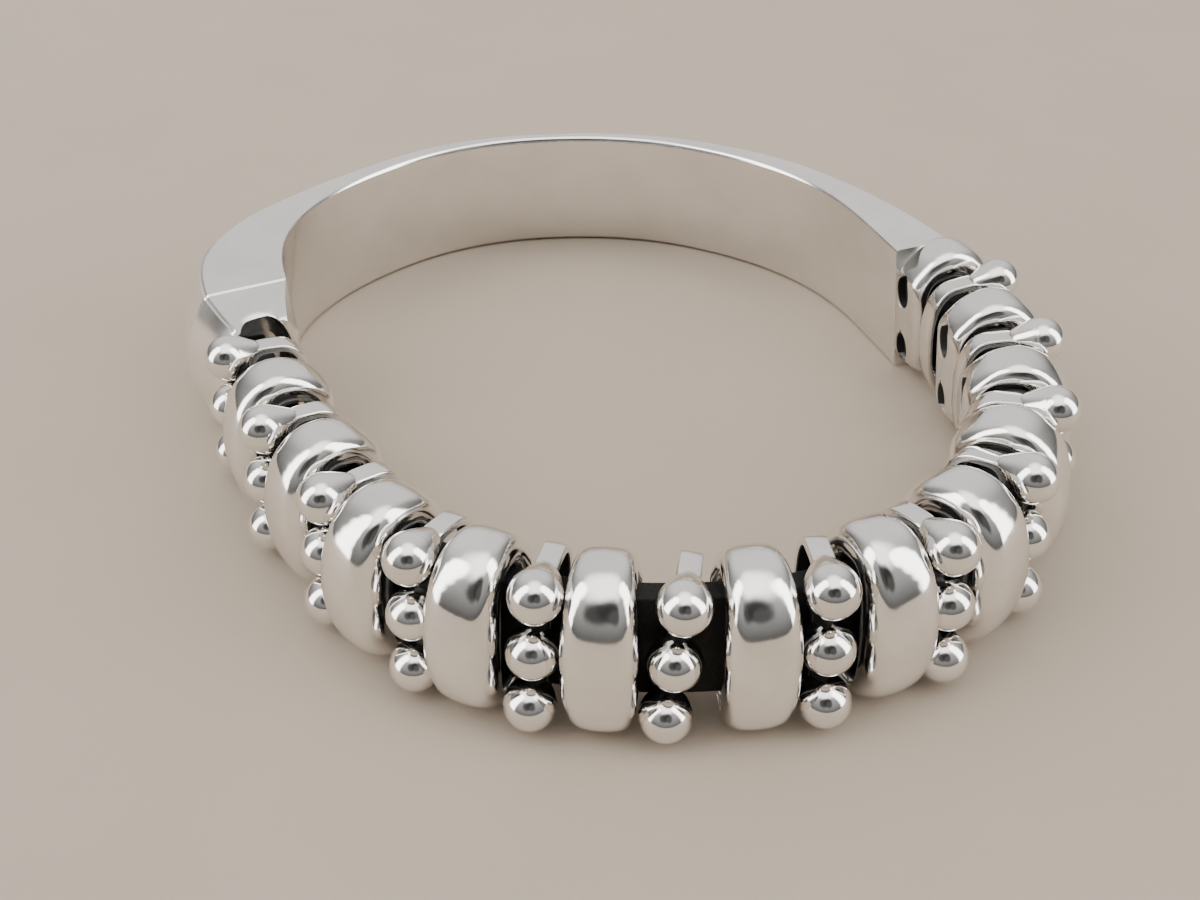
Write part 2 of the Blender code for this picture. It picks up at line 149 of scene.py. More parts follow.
def stand_on_oval(station):
    """Place on the inner face at this station: X along the row, Y inward, Z up the lean."""
    index, part = oval_sample(station)
    after = (index + 1) % PLAN_SAMPLES
    place = oval_points[index] * (1 - part) + oval_points[after] * part
    tangent = oval_tangents[index] * (1 - part) + oval_tangents[after] * part
    along = Vector((*tangent, 0)).normalized()
    inward = Vector((-along.y, along.x, 0))
    leaned_in = inward * math.cos(LEAN) - Vector((0, 0, math.sin(LEAN)))
    leaned_up = Vector((0, 0, math.cos(LEAN))) + inward * math.sin(LEAN)
    axes = Matrix((along, leaned_in, leaned_up)).transposed().to_4x4()
    return Matrix.Translation((*place, MID_HEIGHT)) @ axes


def share_of_oval(station):
    """Share of the inner oval's own length that lies before this station."""
    index, part = oval_sample(station)
    steps = np.linalg.norm(np.roll(oval_points, -1, axis=0) - oval_points, axis=1)
    return float((steps[:index].sum() + part * steps[index]) / steps.sum())


first_station = oval_stations[sample_towards(FIRST_RING_ANGLE)] - oval_length
ring_stations = list(first_station + np.cumsum([row[0] for row in ROW]) * RING_PITCH)
next_stations = ring_stations[1:] + [ring_stations[-1] + RING_PITCH]
ridge_stations = [
    here + (there - here) * row[3]
    for here, there, row in zip(ring_stations, next_stations, ROW)
]
band_end = ring_stations[0] - PLATE_WIDTH / 2 - BAND_END_GAP


def new_tree(name, inputs):
    """A node tree that makes geometry, with its named inputs."""
    tree = bpy.data.node_groups.new(name, "GeometryNodeTree")
    tree.interface.new_socket("Geometry", in_out="INPUT", socket_type="NodeSocketGeometry")
    for label, kind in inputs.items():
        tree.interface.new_socket(label, in_out="INPUT", socket_type="NodeSocket" + kind)
    tree.interface.new_socket("Geometry", in_out="OUTPUT", socket_type="NodeSocketGeometry")
    return tree, tree.nodes.new("NodeGroupInput").outputs, tree.nodes.new("NodeGroupOutput").inputs


def feed(tree, socket, source):
    """Links a socket to its source, or sets it to a plain value."""
    if isinstance(source, bpy.types.NodeSocket):
        tree.links.new(source, socket)
    else:
        socket.default_value = source


def add_node(tree, kind, settings=None, **sources):
    """A node with its settings and its sources by name. An underscore stands for a space."""
    node = tree.nodes.new(kind)
    for label, value in (settings or {}).items():
        setattr(node, label, value)
    for label, source in sources.items():
        feed(tree, node.inputs[label.replace("_", " ")], source)
    return node


def add_piece(name, data):
    """An object with this mesh, in the scene."""
    piece = bpy.data.objects.new(name, data)
    bpy.context.scene.collection.objects.link(piece)
    return piece


def grow(name, points, edges, attributes, tree, values):
    """Runs the tree once on a mesh of bare points and keeps the result as a plain mesh object."""
    seed = bpy.data.meshes.new(name + "_points")
    seed.from_pydata(points, edges, [])
    for label, numbers in attributes.items():
        seed.attributes.new(label, "FLOAT", "POINT").data.foreach_set("value", numbers)
    holder = add_piece(name + "_points", seed)
    modifier = holder.modifiers.new(tree.name, "NODES")
    modifier.node_group = tree
    for item in tree.interface.items_tree:
        if item.in_out == "INPUT" and item.name in values:
            modifier[item.identifier] = values[item.name]
    bpy.context.view_layer.update()
    grown = holder.evaluated_get(bpy.context.evaluated_depsgraph_get())
    mesh = bpy.data.meshes.new_from_object(grown)
    mesh.name = name
    bpy.data.objects.remove(holder)
    return add_piece(name, mesh)


def new_finish(name):
    """A material with its node tree, its Principled shader and the piece's own coordinates."""
    finish = bpy.data.materials.new(name)
    finish.use_nodes = True
    tree = finish.node_tree
    coordinates = tree.nodes.new("ShaderNodeTexCoord").outputs["Object"]
    return finish, tree, tree.nodes["Principled BSDF"].inputs, coordinates


def add_noise(tree, coordinates, scale, detail, roughness=0.5):
    return add_node(
        tree,
        "ShaderNodeTexNoise",
        Vector=coordinates,
        Scale=scale,
        Detail=detail,
        Roughness=roughness,
    ).outputs["Fac"]


def add_ramp(tree, source, places, tones):
    """A ramp through tones at these places, where a plain number is a grey."""
    ramp = add_node(tree, "ShaderNodeValToRGB", Fac=source)
    elements = ramp.color_ramp.elements
    while len(elements) < len(tones):
        elements.new(0.5)
    for element, place, tone in zip(elements, places, tones):
        element.position = place
        element.color = (*tone, 1.0) if isinstance(tone, tuple) else (tone, tone, tone, 1.0)
    return ramp.outputs["Color"]


def add_relief(tree, shader, *layers):
    """Fine relief in the surface, one layer over the other: its height, strength and depth."""
    below = {}
    for height, strength, depth in layers:
        sizes = {"Height": height, "Strength": strength, "Distance": depth}
        bump = add_node(tree, "ShaderNodeBump", **sizes, **below)
        below = {"Normal": bump.outputs["Normal"]}
    feed(tree, shader["Normal"], below["Normal"])


def rubber_finish():
    """Matt black rubber with a fine grain, a little greyer where it is rubbed."""
    finish, tree, shader, coordinates = new_finish("black_rubber")
    grain = add_noise(tree, coordinates, scale=5200.0, detail=5.0, roughness=0.6)
    rubbed = add_noise(tree, coordinates, scale=420.0, detail=3.0)
    feed(tree, shader["Base Color"], add_ramp(tree, rubbed, (0.35, 0.75), RUBBER_TONES))
    feed(tree, shader["Roughness"], add_ramp(tree, grain, (0.3, 0.7), RUBBER_ROUGHNESS))
    feed(tree, shader["Specular IOR Level"], 0.3)
    add_relief(tree, shader, (grain, 0.35, RUBBER_GRAIN_DEPTH))
    return finish


strip_tree, given, made = new_tree(
    "strip along its line",
    {
        "Height": "Float",
        "Thickness": "Float",
        "Corner": "Float",
        "Lean": "Float",
        "Finish": "Material",
    },
)
line = add_node(strip_tree, "GeometryNodeMeshToCurve", Mesh=given["Geometry"])
level = add_node(
    strip_tree, "GeometryNodeSetCurveNormal", {"mode": "Z_UP"}, Curve=line.outputs["Curve"]
)
leaning = add_node(
    strip_tree, "GeometryNodeSetCurveTilt", Curve=level.outputs["Curve"], Tilt=given["Lean"]
)
section = add_node(
    strip_tree,
    "GeometryNodeCurvePrimitiveQuadrilateral",
    Width=given["Thickness"],
    Height=given["Height"],
)
rounded = add_node(
    strip_tree,
    "GeometryNodeFilletCurve",
    {"mode": "POLY"},
    Curve=section.outputs["Curve"],
    Count=4,
    Radius=given["Corner"],
)
swept = add_node(
    strip_tree,
    "GeometryNodeCurveToMesh",
    Curve=leaning.outputs["Curve"],
    Profile_Curve=rounded.outputs["Curve"],
    Fill_Caps=True,
)


def end_tree(tree, geometry, finish, made):
    """Ends a tree as plain geometry in its finish."""
    single = add_node(tree, "GeometryNodeRealizeInstances", Geometry=geometry)
    coated = add_node(
        tree, "GeometryNodeSetMaterial", Geometry=single.outputs["Geometry"], Material=finish
    )
    tree.links.new(coated.outputs["Geometry"], made["Geometry"])


end_tree(strip_tree, swept.outputs["Mesh"], given["Finish"], made)

strip_start = band_end - POCKET_DEPTH + STRIP_CLEARANCE
strip_end = ridge_stations[-1] - STRIP_CLEARANCE
strip_middle = Vector((0, -(STRIP_INSET + STRIP_THICKNESS / 2), (STRIP_TOP + STRIP_BOTTOM) / 2))
strip_line = [
    stand_on_oval(strip_start + (strip_end - strip_start) * step / STRIP_STATIONS) @ strip_middle
    for step in range(STRIP_STATIONS + 1)
]
strip_sizes = {
    "Height": STRIP_TOP - STRIP_BOTTOM,
    "Thickness": STRIP_THICKNESS,
    "Corner": STRIP_CORNER,
    "Lean": -LEAN,
    "Finish": rubber_finish(),
}
strip_edges = [(step, step + 1) for step in range(STRIP_STATIONS)]
strip = grow("strip", strip_line, strip_edges, {}, strip_tree, strip_sizes)
strip.data.shade_smooth()
strip.data.set_sharp_from_angle(angle=STRIP_SHARP_ANGLE)
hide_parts("core_strip")
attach(strip, "root")


# The ridge links: closed domed rings of cast silver round the strip, polished all over but for the
# flat satin face towards the wrist, which has two blind oval holes. A thin raised rim runs round
# each mouth.
RIDGE_HEIGHT = 13.1 * MM
RIDGE_DEPTH = 8.2 * MM
RIDGE_WIDTH = 4.95 * MM
RIDGE_INNER_WALL = 1.6 * MM
RIDGE_PLAY = 0.7 * MM
RIDGE_MOUTH_TOP = 3.95 * MM
RIDGE_MOUTH_BOTTOM = 5.5 * MM
RIDGE_MOUTH_SQUARENESS = 4
RIDGE_POINTS = 120
RIDGE_SHARP_ANGLE = math.radians(60)
HOLE_HEIGHT = 3.2 * MM
HOLE_WIDTH = 1.75 * MM
HOLE_SPACING = 6.1 * MM
HOLE_DEPTH = 1.0 * MM
HOLE_SIDES = 36
CUTTER_SHARP_ANGLE = math.radians(60)
SATIN_DEPTH = 0.12 * MM
WELD_DISTANCE = 0.001 * MM
SILVER_TONES = (0.83, 0.81, 0.785), (0.93, 0.915, 0.895)
POLISHED_ROUGHNESS = 0.07, 0.15
FLAT_FACE_ROUGHNESS = 0.30, 0.42
SILVER_GRAIN_DEPTH = 0.02 * MM
SILVER_WAVE_DEPTH = 0.12 * MM
# Painted shade: where a point keeps a shade value, its silver turns to this near black in the
# recesses, holes and openings round the strip, and it also stands for the patina between the balls
SHADE_AND_PATINA_TONE = (0.012, 0.011, 0.011, 1.0)
SHADE_AND_PATINA_ROUGHNESS = 0.55
far_wall = STRIP_INSET + STRIP_THICKNESS + STRIP_CLEARANCE

# The crest of a ridge from its inner face, over the top, to its outer face:
# share of RIDGE_DEPTH, share of half RIDGE_HEIGHT, share of half RIDGE_WIDTH
RIDGE_CREST = (
    (0.00, 0.00, 0.92),
    (0.00, 0.30, 0.91),
    (0.00, 0.54, 0.88),
    (0.03, 0.68, 0.83),
    (0.12, 0.81, 0.80),
    (0.26, 0.94, 0.80),
    (0.44, 1.00, 0.83),
    (0.61, 0.97, 0.87),
    (0.76, 0.86, 0.92),
    (0.89, 0.66, 0.96),
    (0.97, 0.36, 1.00),
    (1.00, 0.00, 1.00),
)

# The cross-section of a ridge from its crest to the mouth and on inside:
# share of the half width, share of the way from the mouth to the crest, painted shade (a dark line
# in the groove behind the rim, and shade painted inside the mouth)
RIDGE_SECTION = (
    (0.00, 1.000, 0.0),
    (0.14, 0.998, 0.0),
    (0.30, 0.990, 0.0),
    (0.46, 0.975, 0.0),
    (0.60, 0.948, 0.0),
    (0.72, 0.905, 0.0),
    (0.82, 0.845, 0.0),
    (0.90, 0.765, 0.0),
    (0.96, 0.660, 0.0),
    (0.99, 0.560, 0.0),
    (1.00, 0.460, 0.0),
    (0.985, 0.360, 0.0),
    (0.955, 0.300, 0.1),
    (0.925, 0.275, 0.7),
    (0.915, 0.245, 0.7),
    (0.925, 0.205, 0.1),
    (0.905, 0.150, 0.0),
    (0.870, 0.090, 0.03),
    (0.820, 0.040, 0.30),
    (0.740, 0.000, 0.85),
    (0.550, 0.000, 1.0),
    (0.250, 0.000, 1.0),
    (0.000, 0.000, 1.0),
)

# Rows of that section that the last ridge has on the side where the band joins it
JOINED_ROWS = 9

# A blind hole from outside to its floor: share of HOLE_DEPTH, share of its size, painted shade
# inside the hole
HOLE_SECTIONS = (
    (0.25, 1.10, 0.0),
    (0.0, 1.10, 0.0),
    (-0.12, 1.0, 0.6),
    (-0.8, 0.97, 1.0),
    (-1.0, 0.80, 1.0),
)


def ridge_outline():
    """Crest points round the link: depth, height and half width in metres."""
    lower = [(depth, -height, width) for depth, height, width in RIDGE_CREST[-2:0:-1]]
    columns = list(zip(*RIDGE_CREST, *lower))
    outline = []
    for step in range(RIDGE_POINTS):
        depth, height, width = (smooth_share(column, step / RIDGE_POINTS) for column in columns)
        outline.append(
            (max(depth, 0.0) * RIDGE_DEPTH, height * RIDGE_HEIGHT / 2, width * RIDGE_WIDTH / 2)
        )
    return outline


def mouth_point(depth, height):
    """The point of the ridge's mouth that lies towards this point of its crest."""
    centre, half = (RIDGE_INNER_WALL + far_wall) / 2, (far_wall - RIDGE_INNER_WALL) / 2
    across, power = depth - centre, RIDGE_MOUTH_SQUARENESS
    tall = RIDGE_MOUTH_TOP if height > 0 else RIDGE_MOUTH_BOTTOM
    size = ((abs(across) / half) ** power + (abs(height) / tall) ** power) ** (1 / power)
    return centre + across / size, height / size


def new_mesh():
    mesh = bmesh.new()
    mesh.verts.layers.float.new("shade")
    return mesh


def loft(mesh, rings, shades, closed=False, capped=False):
    """Joins rings of points with faces and keeps each ring's darkening on its points."""
    shade = mesh.verts.layers.float["shade"]
    rows = []
    for ring, value in zip(rings, shades):
        row = [mesh.verts.new(point) for point in ring]
        for vertex in row:
            vertex[shade] = value
        rows.append(row)
    pairs = list(zip(rows, rows[1:])) + ([(rows[-1], rows[0])] if closed else [])
    for low, high in pairs:
        for k in range(len(low)):
            after = (k + 1) % len(low)
            mesh.faces.new((low[k], low[after], high[after], high[k]))
    if capped:
        mesh.faces.new(rows[0])
        mesh.faces.new(rows[-1])


def finished_mesh(mesh, name, sharp_angle):
    """Closes the work on a mesh: faces outward, smooth but for edges past the sharp angle."""
    bmesh.ops.recalc_face_normals(mesh, faces=mesh.faces)
    data = bpy.data.meshes.new(name)
    mesh.to_mesh(data)
    mesh.free()
    data.shade_smooth()
    data.set_sharp_from_angle(angle=sharp_angle)
    return data


def ridge_rings(open_both_sides):
    """Loops of a ridge's skin, and their painted shade. The last ridge stays shut on the side where
    the band joins it."""
    left = [(-across, way, dark) for across, way, dark in reversed(RIDGE_SECTION[1:])]
    right = RIDGE_SECTION if open_both_sides else RIDGE_SECTION[:JOINED_ROWS]
    rows = [*left, *right]
    outline = ridge_outline()
    rings = []
    for across, way, _ in rows:
        ring = []
        for depth, height, half_width in outline:
            mouth_depth, mouth_height = mouth_point(depth, height)
            out = mouth_depth + (depth - mouth_depth) * way
            up = mouth_height + (height - mouth_height) * way
            ring.append((across * half_width, -out, up))
        rings.append(ring)
    return rings, [dark for _, _, dark in rows]


def cut(data, cutters, name):
    """Cuts every cutter out of the mesh and returns the result as a plain mesh."""
    solid = add_piece(name, data)
    tools = []
    for number, cutter in enumerate(cutters):
        tool = add_piece(f"{name}_cutter_{number}", cutter)
        boolean = solid.modifiers.new(tool.name, "BOOLEAN")
        boolean.operation = "DIFFERENCE"
        boolean.solver = "EXACT"
        boolean.object = tool
        tools.append(tool)
    bpy.context.view_layer.update()
    evaluated = solid.evaluated_get(bpy.context.evaluated_depsgraph_get())
    result = bpy.data.meshes.new_from_object(evaluated)
    for extra in tools + [solid]:
        bpy.data.objects.remove(extra)
    return result


def hole_cutter(height):
    """An upright oval cutter with a small flare at the face, its inside painted black as shade."""
    mesh = new_mesh()
    rings = []
    for depth, size, _ in HOLE_SECTIONS:
        ring = []
        for angle in angles_round(HOLE_SIDES):
            across = math.cos(angle) * HOLE_WIDTH / 2 * size
            up = height + math.sin(angle) * HOLE_HEIGHT / 2 * size
            ring.append((across, depth * HOLE_DEPTH, up))
        rings.append(ring)
    loft(mesh, rings, [row[2] for row in HOLE_SECTIONS], capped=True)
    return finished_mesh(mesh, "hole", CUTTER_SHARP_ANGLE)


def ridge_mesh(open_both_sides):
    """One ridge with its holes, its inner face marked as satin."""
    mesh = new_mesh()
    rings, shades = ridge_rings(open_both_sides)
    loft(mesh, rings, shades, capped=not open_both_sides)
    if open_both_sides:
        bmesh.ops.remove_doubles(mesh, verts=mesh.verts, dist=WELD_DISTANCE)
    data = finished_mesh(mesh, "ridge", RIDGE_SHARP_ANGLE)
    cutters = [hole_cutter(side * HOLE_SPACING / 2) for side in (-1, 1)]
    ridge = cut(data, cutters, "ridge")
    depths = [1.0 + (point.co.y + SATIN_DEPTH) / SATIN_DEPTH for point in ridge.vertices]
    satin = ridge.attributes.new("satin", "FLOAT", "POINT")
    satin.data.foreach_set("value", [min(max(depth, 0.0), 1.0) for depth in depths])
    return ridge


MIX_SOCKETS = {"FLOAT": (2, 3, 0), "RGBA": (6, 7, 2)}


def mix(tree, kind, factor, first, second):
    """Mixes two values or two colours by a factor."""
    node = add_node(tree, "ShaderNodeMix", {"data_type": kind}, Factor=factor)
    at_none, at_full, mixed = MIX_SOCKETS[kind]
    feed(tree, node.inputs[at_none], first)
    feed(tree, node.inputs[at_full], second)
    return node.outputs[mixed]


def calculate(tree, operation, first, second, clamped=False):
    settings = {"operation": operation, "use_clamp": clamped}
    node = add_node(tree, "ShaderNodeMath", settings)
    feed(tree, node.inputs[0], first)
    feed(tree, node.inputs[1], second)
    return node.outputs["Value"]


def kept_value(tree, label):
    """A value that the mesh keeps on its points, for a material."""
    return add_node(tree, "ShaderNodeAttribute", {"attribute_name": label}).outputs["Fac"]


def paint_shade_and_patina(tree, shader, tone, roughness):
    """Silver of this tone, painted black where it keeps a shade value: painted shade in the
    recesses, and the patina between the balls.
    """
    shade = kept_value(tree, "shade")
    bare = calculate(tree, "SUBTRACT", 1.0, shade, clamped=True)
    feed(tree, shader["Base Color"], mix(tree, "RGBA", shade, tone, SHADE_AND_PATINA_TONE))
    feed(tree, shader["Roughness"], mix(tree, "FLOAT", shade, roughness, SHADE_AND_PATINA_ROUGHNESS))
    feed(tree, shader["Metallic"], bare)


def polished_finish():
    """Sterling silver, bright where the wheel reached it and satin on its flat inner face."""
    finish, tree, shader, coordinates = new_finish("polished_silver")
    cloudy = add_noise(tree, coordinates, scale=260.0, detail=4.0, roughness=0.55)
    fine = add_noise(tree, coordinates, scale=3000.0, detail=6.0, roughness=0.7)
    tone = add_ramp(tree, cloudy, (0.3, 0.7), SILVER_TONES)
    polish = add_ramp(tree, cloudy, (0.3, 0.75), POLISHED_ROUGHNESS)
    dull = add_ramp(tree, fine, (0.3, 0.7), FLAT_FACE_ROUGHNESS)
    paint_shade_and_patina(tree, shader, tone, mix(tree, "FLOAT", kept_value(tree, "satin"), polish, dull))
    add_relief(tree, shader, (fine, 0.05, SILVER_GRAIN_DEPTH), (cloudy, 0.12, SILVER_WAVE_DEPTH))
    return finish


polished_silver = polished_finish()

oval_line = add_piece("oval_line", bpy.data.meshes.new("oval_line"))
oval_line.data.from_pydata(
    [(*point, MID_HEIGHT) for point in oval_points],
    [(step, (step + 1) % PLAN_SAMPLES) for step in range(PLAN_SAMPLES)],
    [],
)

thread_tree, given, made = new_tree(
    "links threaded along the oval",
    {
        "Oval": "Object",
        "Link": "Object",
        "Lean": "Float",
        "Turning depth": "Float",
        "Finish": "Material",
    },
)


def link_value(label):
    """A value that each threaded link has of its own."""
    kind = "GeometryNodeInputNamedAttribute"
    return add_node(thread_tree, kind, {"data_type": "FLOAT"}, Name=label).outputs["Attribute"]


def turn_about(axis, angle):
    kind = "FunctionNodeAxisAngleToRotation"
    return add_node(thread_tree, kind, Axis=axis, Angle=angle).outputs["Rotation"]


def turned_by(rotation, further):
    """A rotation with a further turn about its own axes."""
    node = add_node(
        thread_tree,
        "FunctionNodeRotateRotation",
        {"rotation_space": "LOCAL"},
        Rotation=rotation,
        Rotate_By=further,
    )
    return node.outputs["Rotation"]


def rotated(vector, rotation):
    kind = "FunctionNodeRotateVector"
    return add_node(thread_tree, kind, Vector=vector, Rotation=rotation).outputs["Vector"]


def outward(distance):
    """A vector that points out of the loop, where Y points inward."""
    away = calculate(thread_tree, "MULTIPLY", distance, -1.0)
    return add_node(thread_tree, "ShaderNodeCombineXYZ", Y=away).outputs["Vector"]


def combine(operation, first, second):
    node = add_node(thread_tree, "ShaderNodeVectorMath", {"operation": operation})
    feed(thread_tree, node.inputs[0], first)
    feed(thread_tree, node.inputs[1], second)
    return node.outputs["Vector"]


oval_info = add_node(thread_tree, "GeometryNodeObjectInfo", Object=given["Oval"])
oval_curve = add_node(
    thread_tree, "GeometryNodeMeshToCurve", Mesh=oval_info.outputs["Geometry"]
)
on_oval = add_node(
    thread_tree,
    "GeometryNodeSampleCurve",
    {"mode": "FACTOR"},
    Curves=oval_curve.outputs["Curve"],
    Factor=link_value("place"),
)
facing = add_node(
    thread_tree,
    "FunctionNodeAlignRotationToVector",
    {"axis": "X", "pivot_axis": "Z"},
    Vector=on_oval.outputs["Tangent"],
)
lean = turn_about((1.0, 0.0, 0.0), calculate(thread_tree, "MULTIPLY", given["Lean"], -1.0))
turn = turn_about((0.0, 0.0, 1.0), link_value("turn"))
tilt = turn_about((0.0, 1.0, 0.0), link_value("tilt"))
leaned = turned_by(facing.outputs["Rotation"], lean)
settled = turned_by(turned_by(leaned, turn), tilt)
pivot = outward(given["Turning depth"])
swing = combine("SUBTRACT", pivot, rotated(pivot, turn))
shift = rotated(combine("ADD", swing, outward(link_value("slide"))), leaned)
spots = add_node(
    thread_tree,
    "GeometryNodeSetPosition",
    Geometry=given["Geometry"],
    Position=combine("ADD", on_oval.outputs["Position"], shift),
)
link_info = add_node(thread_tree, "GeometryNodeObjectInfo", Object=given["Link"])
threaded = add_node(
    thread_tree,
    "GeometryNodeInstanceOnPoints",
    Points=spots.outputs["Geometry"],
    Instance=link_info.outputs["Geometry"],
    Rotation=settled,
)
end_tree(thread_tree, threaded.outputs["Instances"], given["Finish"], made)


def thread(name, pattern, stations, tilts, turns, slides, turning_depth):
    """Threads copies of the pattern along the oval, one at each station, as one mesh."""
    attributes = {
        "place": [share_of_oval(station) for station in stations],
        "tilt": [math.radians(tilt) for tilt in tilts],
        "turn": [math.radians(turn) for turn in turns],
        "slide": slides,
    }
    values = {
        "Oval": oval_line,
        "Link": pattern,
        "Lean": LEAN,
        "Turning depth": turning_depth,
        "Finish": polished_silver,
    }
    return grow(name, [(0, 0, 0)] * len(stations), [], attributes, thread_tree, values)


ridge_pattern = add_piece("ridge_pattern", ridge_mesh(True))
upright = [0.0] * (len(ROW) - 1)
ridge_slides = [row[4] * RIDGE_PLAY for row in ROW[:-1]]
ridge_links = thread(
    "ridge_links", ridge_pattern, ridge_stations[:-1], upright, upright, ridge_slides, 0.0
)
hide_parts(*[f"ridge_link_{number:02d}" for number in range(1, len(ROW))])
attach(ridge_links, "root")


# The bead rings: thin silver ring plates round the strip, each with three balls soldered to its
# outer face. The top ball runs back into the plate in a drop shape, and the plate's face between
# the balls is painted black, as shade in the crevices together with their patina.
BALL_DIAMETER = 3.6 * MM
BALL_SPACING = 4.5 * MM
BALL_SOLDER_DEPTH = 0.7 * MM
BALL_SEGMENTS = 36
BALL_RINGS = 24
BALL_PAINTED_SHADE = 0.9
BALL_SHADE_FROM = 0.72
PLATE_TOP = 5.4 * MM
PLATE_BOTTOM = -5.9 * MM
PLATE_WALL = 0.55 * MM
PLATE_INNER_ROUNDNESS = 2.4
PLATE_OUTER_ROUNDNESS = 5.0
PLATE_SIDES = 72
PLATE_EDGE = 0.12 * MM
PLATE_EDGE_WEAR = 0.3
PLATE_LIP = 0.02 * MM
# Painted shade on the plate's inner face round the strip, and part of it on the edges beside it
PLATE_PAINTED_SHADE = (0.35, 0, 0, 0, 0, 0, 0, 0, 0.35, 1, 1, 1)
SHADE_AND_PATINA_LAYER = 0.1 * MM
BEAD_RING_SHARP_ANGLE = math.radians(45)
DROP_START = 4.12 * MM
DROP_LIFT = 0.05 * MM
DROP_SAG = 0.06 * MM
DROP_SIDES = 36

# The solder drop from the plate to the ball: share of its length, half width and half height in
# mm, painted shade (a thin dark line in the crease where it leaves the plate)
DROP_SECTIONS = (
    (0.00, 0.74, 0.92, 0.8),
    (0.04, 0.86, 1.02, 0.15),
    (0.12, 1.00, 1.12, 0.0),
    (0.30, 1.24, 1.30, 0.0),
    (0.50, 1.47, 1.50, 0.0),
    (0.68, 1.64, 1.65, 0.0),
    (0.84, 1.73, 1.74, 0.0),
    (1.00, 1.77, 1.77, 0.0),
)
plate_face = far_wall + PLATE_WALL
ball_reach = plate_face + BALL_DIAMETER / 2 - BALL_SOLDER_DEPTH


def plate_ring(across, grow_out):
    """One loop of a ring plate, grown outward from its opening."""
    near, far = PLATE_WALL, plate_face - PLATE_WALL
    centre, half_depth = (near + far) / 2, (far - near) / 2 + grow_out
    middle = (PLATE_TOP + PLATE_BOTTOM) / 2
    half_height = (PLATE_TOP - PLATE_BOTTOM) / 2 - PLATE_WALL + grow_out
    ring = []
    for angle in angles_round(PLATE_SIDES, 0.5):
        depth, height = math.cos(angle) * half_depth, math.sin(angle) * half_height
        power = PLATE_INNER_ROUNDNESS if depth < 0 else PLATE_OUTER_ROUNDNESS
        far_out = abs(depth / half_depth) ** power + abs(height / half_height) ** power
        size = far_out ** (1 / power)
        ring.append((across, -(centre + depth / size), middle + height / size))
    return ring


def add_ball(mesh, height):
    shade = mesh.verts.layers.float["shade"]
    radius = BALL_DIAMETER / 2
    ball = bmesh.ops.create_uvsphere(
        mesh, u_segments=BALL_SEGMENTS, v_segments=BALL_RINGS, radius=radius
    )
    to_place = Matrix.Translation((0, -ball_reach, height)) @ Matrix.Rotation(math.pi / 2, 4, "X")
    for vertex in ball["verts"]:
        vertex.co = to_place @ vertex.co
        # Painted shade on the side of the ball that meets the plate
        towards_plate = (vertex.co.y + ball_reach) / radius
        vertex[shade] = BALL_PAINTED_SHADE if towards_plate > BALL_SHADE_FROM else 0.0


def add_drop(mesh):
    """The drop-shaped solder that runs from the plate's top edge up to the top ball. On the plate
    its underside is sunk in the wall."""
    first = PLATE_TOP + DROP_LIFT - DROP_SECTIONS[0][2] * MM
    sunk = PLATE_TOP - PLATE_WALL / 2
    rings = []
    for share, half_width, half_height, _ in DROP_SECTIONS:
        along = DROP_START + (ball_reach - DROP_START) * share
        centre = first + (BALL_SPACING - first) * share
        on_plate = along < plate_face - PLATE_WALL / 2
        leaves_plate = -math.pi / 2
        if on_plate:
            leaves_plate = math.asin((sunk - centre) / (half_height * MM))
        ring = []
        for step, turned in enumerate(angles_round(DROP_SIDES)):
            side = 1 if step <= DROP_SIDES / 2 else -1
            angle = turned - math.pi / 2 if side > 0 else math.pi - (turned - math.pi / 2)
            across, height = math.cos(angle), centre + math.sin(angle) * half_height * MM
            if angle < leaves_plate:
                out = (angle + math.pi / 2) / (leaves_plate + math.pi / 2)
                across, height = math.cos(leaves_plate) * out, sunk - DROP_SAG * (1 - out**2)
            ring.append((side * across * half_width * MM, -along, height))
        rings.append(ring)
    loft(mesh, rings, [row[3] for row in DROP_SECTIONS], capped=True)


def bead_ring_mesh():
    """A ring plate with its three balls, its face between them painted black as shade and patina.
    """
    mesh = new_mesh()
    half, edge, worn = PLATE_WIDTH / 2, PLATE_EDGE, PLATE_EDGE * PLATE_EDGE_WEAR
    rings = [
        plate_ring(-half, PLATE_LIP),
        plate_ring(-half, PLATE_WALL - edge),
        plate_ring(-half + worn, PLATE_WALL - worn),
        plate_ring(-half + edge, PLATE_WALL),
        plate_ring(0, PLATE_WALL),
        plate_ring(half - edge, PLATE_WALL),
        plate_ring(half - worn, PLATE_WALL - worn),
        plate_ring(half, PLATE_WALL - edge),
        plate_ring(half, PLATE_LIP),
        plate_ring(half - edge, 0),
        plate_ring(0, 0),
        plate_ring(-half + edge, 0),
    ]
    loft(mesh, rings, PLATE_PAINTED_SHADE, closed=True)
    shade = mesh.verts.layers.float["shade"]
    # Painted shade in the crevices between the balls, with their patina: the outer face there turns
    # black
    for vertex in mesh.verts:
        if vertex.co.y < -(plate_face - SHADE_AND_PATINA_LAYER) and abs(vertex.co.z) < BALL_SPACING:
            vertex[shade] = 1.0
    for place in (-1, 0, 1):
        add_ball(mesh, place * BALL_SPACING)
    add_drop(mesh)
    return finished_mesh(mesh, "bead_ring", BEAD_RING_SHARP_ANGLE)


bead_ring_pattern = add_piece("bead_ring_pattern", bead_ring_mesh())
tilts, turns, slides = [row[1] for row in ROW], [row[2] for row in ROW], [0.0] * len(ROW)
bead_rings = thread(
    "bead_rings", bead_ring_pattern, ring_stations, tilts, turns, slides, ball_reach
)
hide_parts(*[f"bead_ring_{number:02d}" for number in range(1, len(ROW) + 1)])
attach(bead_rings, "root")
for pattern in (ridge_pattern, bead_ring_pattern, oval_line):
    bpy.data.objects.remove(pattern)


